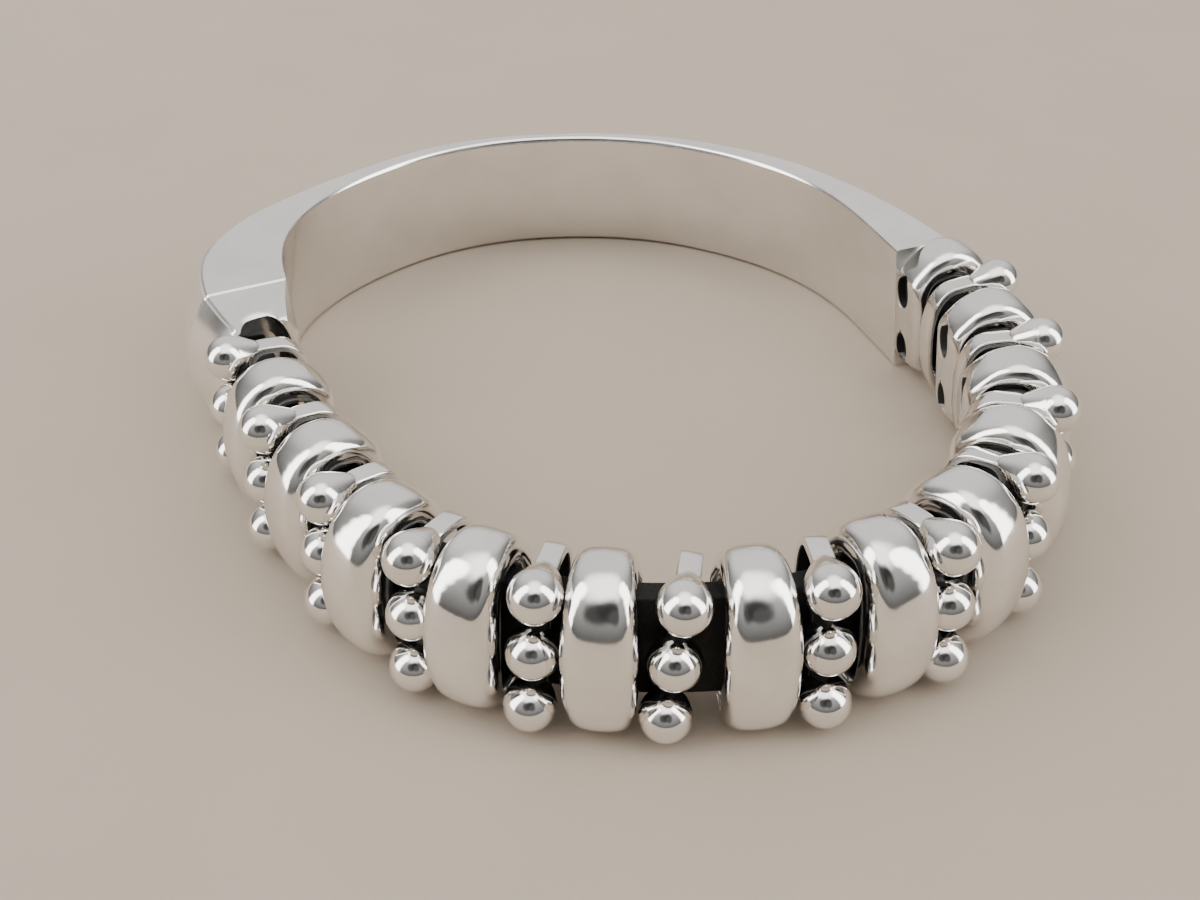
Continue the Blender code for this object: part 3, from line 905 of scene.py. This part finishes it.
# The band: the rigid half hoop at the back, cast in silver with the last ridge on its right end.
# Its top is polished and its inner face is brushed satin. Its left end is cut to a block with an
# arched pocket.
BAND_HEIGHT = 12.6 * MM
BAND_THICKNESS = 2.3 * MM
BAND_ROOT = 1.1 * MM
BAND_TIP_LENGTH = 5.3 * MM
BAND_STATIONS = 220
BAND_BLEND = 0.025
BAND_BLEND_END = 0.03
BAND_BLEND_SAMPLES = 9
BAND_SHARP_ANGLE = math.radians(32)
INNER_FACE_POINTS = 14
TOP_POINTS = 7
OUTER_SIDE_POINTS = 16
EDGE_STEPS = 7
EDGE_LIMIT = 0.45
OUTER_EDGE_SHARE = 1.3
FACET_STEEPNESS = 1.5
SATIN_EDGE = 0.02 * MM
SATIN_FADE = 0.25 * MM
BRIGHT_TONES = (0.84, 0.82, 0.795), (0.93, 0.915, 0.895)
BRIGHT_ROUGHNESS = 0.13, 0.22
SATIN_TONES = (0.70, 0.665, 0.635), (0.83, 0.80, 0.775)
BRUSHED_ROUGHNESS = 0.30, 0.46
BRUSHING_SCALE = (90.0, 2600.0, 1.0)
BRUSHING_DEPTH = 0.05 * MM
BAND_WAVE_DEPTH = 0.15 * MM

# The band from its right end to its left end: share of its run, thickness as a share of
# BAND_THICKNESS, how far its outer side swells at mid height as a share of that thickness, and its
# edge radius in mm
BAND_SECTIONS = (
    (0.00, 2.40, 0.06, 0.35),
    (0.06, 1.95, 0.06, 0.35),
    (0.10, 1.62, 0.06, 0.40),
    (0.15, 1.28, 0.06, 0.45),
    (0.25, 1.08, 0.06, 0.55),
    (0.36, 0.86, 0.06, 0.60),
    (0.48, 0.70, 0.06, 0.60),
    (0.60, 0.86, 0.06, 0.60),
    (0.74, 1.02, 0.08, 0.55),
    (0.82, 1.50, 0.12, 0.45),
    (0.88, 2.35, 0.22, 0.30),
    (0.94, 3.02, 0.27, 0.22),
    (1.00, 2.90, 0.30, 0.20),
)

# Left tip of the band past its crease: share of the tip's length, share of the full height, how far
# the inner and outer sides draw in, as shares of the thickness at the crease, and the facet on its
# inner edge in mm
CREASE_WIDTH = 0.05 * MM
TIP_SECTIONS = (
    (0.008, 0.9975, 0.000, 0.001, 0.01),
    (0.038, 0.9825, 0.001, 0.006, 0.05),
    (0.046, 0.9805, 0.002, 0.008, 0.06),
    (0.55, 0.930, 0.020, 0.105, 0.70),
    (0.92, 0.890, 0.042, 0.183, 1.10),
    (0.95, 0.884, 0.046, 0.190, 1.13),
    (0.975, 0.872, 0.054, 0.200, 1.16),
    (0.992, 0.855, 0.066, 0.213, 1.18),
    (1.00, 0.834, 0.080, 0.228, 1.18),
)

# Mouth of the pocket, from outside to its floor: share of POCKET_DEPTH, how far it opens beyond the
# pocket's own walls to the sides and upward in mm, how square its corners are, and painted shade
# deep in the pocket
POCKET_SIDES = 64
POCKET_MOUTH = (
    (0.50, 1.20, 2.60, 2.1, 0.0),
    (0.02, 1.18, 2.50, 2.1, 0.0),
    (-0.25, 1.12, 2.35, 2.1, 0.0),
    (-0.50, 1.00, 2.15, 2.1, 0.0),
    (-0.68, 0.80, 1.85, 2.2, 0.0),
    (-0.80, 0.50, 1.30, 2.5, 0.1),
    (-0.88, 0.20, 0.55, 3.0, 0.5),
    (-0.93, 0.03, 0.08, 3.6, 0.9),
    (-1.00, 0.00, 0.00, 4.0, 1.0),
)

# The arch that this mouth leaves in the top of the tip, seen from above, and the chamfer round it:
# its rise over the top and its spread beyond the arch, in mm
ARCH_DEPTH = 1.3 * MM
ARCH_WIDTH = 3.3 * MM
ARCH_MIDDLE = 2.75 * MM
ARCH_TOP = 11.88 * MM
ARCH_SLOPE = 0.13
ARCH_CHAMFER = ((-0.30, -0.40), (-0.16, 0.0), (0.02, 0.34), (0.30, 0.85))


def band_section(share):
    """Thickness, swell and edge radius of the band at this share of its run, with soft changes."""
    window = np.linspace(-BAND_BLEND, BAND_BLEND, BAND_BLEND_SAMPLES)
    places = np.clip(share + window * min(1.0, (1.0 - share) / BAND_BLEND_END), 0, 1)
    columns = list(zip(*BAND_SECTIONS))
    values = [float(np.interp(places, columns[0], column).mean()) for column in columns[1:]]
    return values[0] * BAND_THICKNESS, values[1], values[2] * MM


def band_outline(thickness, swell, radius, facet=0.0):
    """A closed section: points as (depth, height) from the bottom of the inner face, up and round.
    A facet takes the place of the rounding on the inner edge."""
    half = BAND_HEIGHT / 2
    outer_radius = min(radius * OUTER_EDGE_SHARE, thickness * EDGE_LIMIT)
    inner_radius = min(radius, thickness * EDGE_LIMIT)
    in_reach = max(inner_radius, facet)
    down_reach = max(inner_radius, facet * FACET_STEEPNESS)
    flat = min(facet / inner_radius, 1.0)
    inner_shares = np.linspace(-1, 1, INNER_FACE_POINTS)
    inner_face = [(0.0, share * (half - down_reach)) for share in inner_shares]
    inner_edge, outer_edge, outer_side = [], [], []
    for step in range(1, EDGE_STEPS):
        angle = math.pi / 2 * step / EDGE_STEPS
        round_in, round_down = 1 - math.cos(angle), 1 - math.sin(angle)
        flat_in, flat_down = step / EDGE_STEPS, 1 - step / EDGE_STEPS
        depth = in_reach * (round_in + (flat_in - round_in) * flat)
        height = half - down_reach * (round_down + (flat_down - round_down) * flat)
        inner_edge.append((depth, height))
        outer_edge.append((thickness - outer_radius * round_down, half - outer_radius * round_in))
    top = [(depth, half) for depth in np.linspace(in_reach, thickness - outer_radius, TOP_POINTS)]
    for share in np.linspace(1, -1, OUTER_SIDE_POINTS):
        height = share * (half - outer_radius)
        outer_side.append((thickness * (1 + swell * (1 - (height / half) ** 2)), height))
    over = inner_edge + top + outer_edge
    under = [(depth, -height) for depth, height in reversed(over)]
    return inner_face + over + outer_side + under


def band_ring(station, section, height_share=1.0, inner_in=0.0, outer_in=0.0, facet=0.0):
    """One section of the band with level top and bottom, on the lean of the loop."""
    stand = stand_on_oval(station)
    base = stand.translation
    inward = (stand.to_3x3() @ Vector((0, 1, 0)) * Vector((1, 1, 0))).normalized()
    ring = []
    for depth, height in band_outline(*section, facet):
        out = section[0] * inner_in + depth * (1 - inner_in - outer_in)
        level = BAND_HEIGHT / 2 + height * height_share
        spot = base - inward * (out - (level - base.z) * math.tan(LEAN))
        ring.append((spot.x, spot.y, level))
    return ring


def pocket_cutter():
    """The arched pocket for the end of the strip, with a hollowed mouth."""
    mesh = new_mesh()
    centre, half_depth = (RIDGE_INNER_WALL + far_wall) / 2, (far_wall - RIDGE_INNER_WALL) / 2
    low = -STRIP_BOTTOM + STRIP_CLEARANCE / 2
    middle, half_height = (RIDGE_MOUTH_TOP - low) / 2, (RIDGE_MOUTH_TOP + low) / 2
    rings = []
    for across, to_sides, upward, squareness, _ in POCKET_MOUTH:
        ring = []
        for angle in angles_round(POCKET_SIDES, 0.5):
            across_half = half_depth + to_sides * MM
            up_half = half_height + upward * MM * (1 if math.sin(angle) > 0 else 0)
            far_out = abs(math.cos(angle)) ** squareness + abs(math.sin(angle)) ** squareness
            size = far_out ** (-1 / squareness)
            depth = centre + math.cos(angle) * across_half * size
            height = middle + math.sin(angle) * up_half * size
            ring.append((across * POCKET_DEPTH, -depth, height))
        rings.append(ring)
    loft(mesh, rings, [row[4] for row in POCKET_MOUTH], capped=True)
    mesh.transform(stand_on_oval(band_end))
    return finished_mesh(mesh, "pocket", CUTTER_SHARP_ANGLE)


def arch_rim_cutter():
    """A shallow chamfer round the arch that the mouth cuts into the top of the band's left end."""
    mesh = new_mesh()
    to_place = stand_on_oval(band_end)
    rings = []
    for rise, spread in ARCH_CHAMFER:
        ring = []
        for angle in angles_round(POCKET_SIDES, 0.5):
            inside = (ARCH_DEPTH + spread * MM) * math.cos(angle)
            across = ARCH_MIDDLE + (ARCH_WIDTH / 2 + spread * MM) * math.sin(angle)
            spot = to_place @ Vector((-inside, -across, 0))
            height = ARCH_TOP + max(inside, 0.0) * ARCH_SLOPE + rise * MM
            ring.append((spot.x, spot.y, height))
        rings.append(ring)
    loft(mesh, rings, [0.0] * len(rings), capped=True)
    return finished_mesh(mesh, "arch_rim", CUTTER_SHARP_ANGLE)


def hoop_mesh():
    """The half hoop from its right end, inside the last ridge, to its hollowed left end."""
    mesh = new_mesh()
    right, crease = ridge_stations[-1] + BAND_ROOT, band_end + oval_length - BAND_TIP_LENGTH
    shares = [step / BAND_STATIONS for step in range(BAND_STATIONS)]
    shares += [1 - CREASE_WIDTH / (crease - right), 1.0]
    rings = []
    for share in shares:
        rings.append(band_ring(right + (crease - right) * share, band_section(share)))
    for share, height, inner_in, outer_in, facet in TIP_SECTIONS:
        station = crease + share * BAND_TIP_LENGTH
        rings.append(
            band_ring(station, band_section(1.0), height, inner_in, outer_in, facet * MM)
        )
    loft(mesh, rings, [0.0] * len(rings), capped=True)
    hoop = finished_mesh(mesh, "hoop", BAND_SHARP_ANGLE)
    return cut(hoop, [pocket_cutter(), arch_rim_cutter()], "hoop")


def satin_finish():
    """Brushed satin inside, bright polish on the top, the outer side and the last ridge's dome."""
    finish, tree, shader, coordinates = new_finish("satin_silver")
    satin = kept_value(tree, "satin")
    brushing = add_node(tree, "ShaderNodeUVMap", {"uv_map": "brushing"}).outputs["UV"]
    stretched = add_node(tree, "ShaderNodeMapping", Vector=brushing, Scale=BRUSHING_SCALE)
    strokes = add_noise(tree, stretched.outputs["Vector"], scale=1.0, detail=6.0)
    cloudy = add_noise(tree, coordinates, scale=180.0, detail=5.0, roughness=0.6)
    bright = add_ramp(tree, cloudy, (0.3, 0.7), BRIGHT_TONES)
    dull = add_ramp(tree, cloudy, (0.25, 0.75), SATIN_TONES)
    polish = add_ramp(tree, cloudy, (0.3, 0.75), BRIGHT_ROUGHNESS)
    brushed = add_ramp(tree, strokes, (0.25, 0.75), BRUSHED_ROUGHNESS)
    tone = mix(tree, "RGBA", satin, bright, dull)
    paint_shade_and_patina(tree, shader, tone, mix(tree, "FLOAT", satin, polish, brushed))
    scratches = calculate(tree, "MULTIPLY", strokes, satin)
    add_relief(tree, shader, (scratches, 0.25, BRUSHING_DEPTH), (cloudy, 0.12, BAND_WAVE_DEPTH))
    return finish


def band_mesh():
    """Hoop and last ridge as one mesh, with its brushing direction and its satin faces marked."""
    last_ridge = ridge_mesh(False)
    last_ridge.transform(stand_on_oval(ridge_stations[-1]))
    mesh = bmesh.new()
    mesh.from_mesh(hoop_mesh())
    mesh.from_mesh(last_ridge)
    satin = mesh.verts.layers.float.new("satin")
    brushing = mesh.loops.layers.uv.new("brushing")
    centre = Vector((*PLAN_CENTRE, 0))
    for vertex in mesh.verts:
        ray = vertex.co - centre
        sample = oval_points[sample_towards(math.atan2(ray.y, ray.x))]
        reach = math.hypot(*(sample - np.array(PLAN_CENTRE)))
        lean_in = (vertex.co.z - MID_HEIGHT) * math.tan(LEAN)
        depth = math.hypot(ray.x, ray.y) - reach + lean_in
        vertex[satin] = min(max(1.0 - (depth - SATIN_EDGE) / SATIN_FADE, 0.0), 1.0)
    for face in mesh.faces:
        for corner in face.loops:
            ray = corner.vert.co - centre
            turn = math.atan2(ray.y, ray.x) % math.tau
            corner[brushing].uv = (turn * INSIDE_LENGTH / 2, corner.vert.co.z)
    return finished_mesh(mesh, "band", BAND_SHARP_ANGLE)


band = add_piece("hoop_band", band_mesh())
band.data.materials.clear()
band.data.materials.append(satin_finish())
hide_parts("band")
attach(band, "root")


# The floor, the light and the camera. The floor is a plain pale warm sheet. The light is a soft sky
# with bright and dark patches for the metal to mirror, and one soft box for the shadow.
FLOOR_HALF = 1.5
FLOOR_TONES = (0.3648, 0.3024, 0.24), (0.38, 0.315, 0.25)
FLOOR_ROUGHNESS = 0.8
SKY_WARMTH = (1.0, 0.985, 0.96, 1.0)
SKY_HEIGHTS = 0.0, 0.15, 0.5, 1.0
SKY_BRIGHTNESS = 0.10, 0.22, 0.42, 0.70
CAMERA_SIDE = -42.5
CAMERA_PLACE = (56.39 * MM, -51.71 * MM, 61.92 * MM)
CAMERA_HEADING = 48.5
CAMERA_DOWNWARD = 40.21
CAMERA_ROLL = -1.48
CAMERA_LENS = 33.81
CAMERA_SENSOR = 36.0
CAMERA_NEAR = 0.005
SOFT_BOX_PLACE = Vector((-0.30, -0.12, 0.34))
SOFT_BOX_SIZE = 0.30
SOFT_BOX_POWER = 0.5

# Soft round patches of the sky: the direction of each, the reach of its soft edge and of its even
# core in degrees, and its brightness. First the wall at the back and the light overhead, then the
# windows to the left and right of the camera, then the dark side where the camera stands
BRIGHT_PATCHES = (
    ((-0.572, 0.506, 0.645), 60, 20, 1.0),
    ((0.12, -0.10, 0.98), 36, 12, 2.8),
)
WINDOW_SIDES = (-76, 76)
WINDOW_HEIGHTS = (6, 22, 38, 54)
WINDOW_PATCH = (17, 9, 6.0)
DARK_PATCHES = (
    ((0.43, -0.62, 0.60), 23, 10, 0.08),
    ((0.60, -0.42, 0.68), 22, 10, 0.045),
    ((0.70, -0.38, 0.50), 16, 7, 0.10),
)


def floor_finish():
    """A pale warm matt sheet with a faint mottle."""
    finish, tree, shader, coordinates = new_finish("pale_floor")
    mottle = add_noise(tree, coordinates, scale=60.0, detail=4.0)
    feed(tree, shader["Base Color"], add_ramp(tree, mottle, (0.3, 0.7), FLOOR_TONES))
    feed(tree, shader["Roughness"], FLOOR_ROUGHNESS)
    return finish


floor_mesh = bpy.data.meshes.new("floor")
floor_sides = ((-1, -1), (1, -1), (1, 1), (-1, 1))
floor_corners = [(x * FLOOR_HALF, y * FLOOR_HALF, 0) for x, y in floor_sides]
floor_mesh.from_pydata(floor_corners, [], [(0, 1, 2, 3)])
floor = add_piece("floor", floor_mesh)
floor_mesh.materials.append(floor_finish())

world = bpy.data.worlds.new("soft_sky")
bpy.context.scene.world = world
world.use_nodes = True
sky_tree = world.node_tree
ray = sky_tree.nodes.new("ShaderNodeTexCoord").outputs["Generated"]
height = add_node(sky_tree, "ShaderNodeSeparateXYZ", Vector=ray).outputs["Z"]


def add_patch(sky, towards, edge, core, brightness):
    """A soft round patch of another brightness in the sky, its edge and core in degrees."""
    near = add_node(sky_tree, "ShaderNodeVectorMath", {"operation": "DOT_PRODUCT"})
    feed(sky_tree, near.inputs[0], ray)
    feed(sky_tree, near.inputs[1], Vector(towards).normalized())
    fade = add_node(
        sky_tree,
        "ShaderNodeMapRange",
        {"interpolation_type": "SMOOTHSTEP"},
        Value=near.outputs["Value"],
        From_Min=math.cos(math.radians(edge)),
        From_Max=math.cos(math.radians(core)),
    )
    return mix(sky_tree, "FLOAT", fade.outputs["Result"], sky, brightness)


window_patches = []
for sideways in WINDOW_SIDES:
    for raised in WINDOW_HEIGHTS:
        turned, up = math.radians(CAMERA_SIDE + sideways), math.radians(raised)
        towards = (math.cos(turned) * math.cos(up), math.sin(turned) * math.cos(up), math.sin(up))
        window_patches.append((towards, *WINDOW_PATCH))
sky = add_ramp(sky_tree, height, SKY_HEIGHTS, SKY_BRIGHTNESS)
for patch in (*BRIGHT_PATCHES, *window_patches, *DARK_PATCHES):
    sky = add_patch(sky, *patch)
background = sky_tree.nodes["Background"].inputs
feed(sky_tree, background["Strength"], sky)
feed(sky_tree, background["Color"], SKY_WARMTH)

soft_box = bpy.data.lights.new("window_left", "AREA")
soft_box.shape = "RECTANGLE"
soft_box.size, soft_box.size_y = SOFT_BOX_SIZE, SOFT_BOX_SIZE
soft_box.energy = SOFT_BOX_POWER
lamp = add_piece("window_left", soft_box)
lamp.location = SOFT_BOX_PLACE
lamp.rotation_euler = (-SOFT_BOX_PLACE).to_track_quat("-Z", "Y").to_euler()
lamp.visible_glossy = False

camera_data = bpy.data.cameras.new("camera")
camera_data.sensor_width = CAMERA_SENSOR
camera_data.lens = CAMERA_LENS
camera_data.clip_start = CAMERA_NEAR
camera = add_piece("camera", camera_data)
camera.matrix_world = (
    Matrix.Translation(CAMERA_PLACE)
    @ Matrix.Rotation(math.radians(CAMERA_HEADING), 4, "Z")
    @ Matrix.Rotation(math.radians(90 - CAMERA_DOWNWARD), 4, "X")
    @ Matrix.Rotation(math.radians(CAMERA_ROLL), 4, "Z")
)
bpy.context.scene.camera = camera
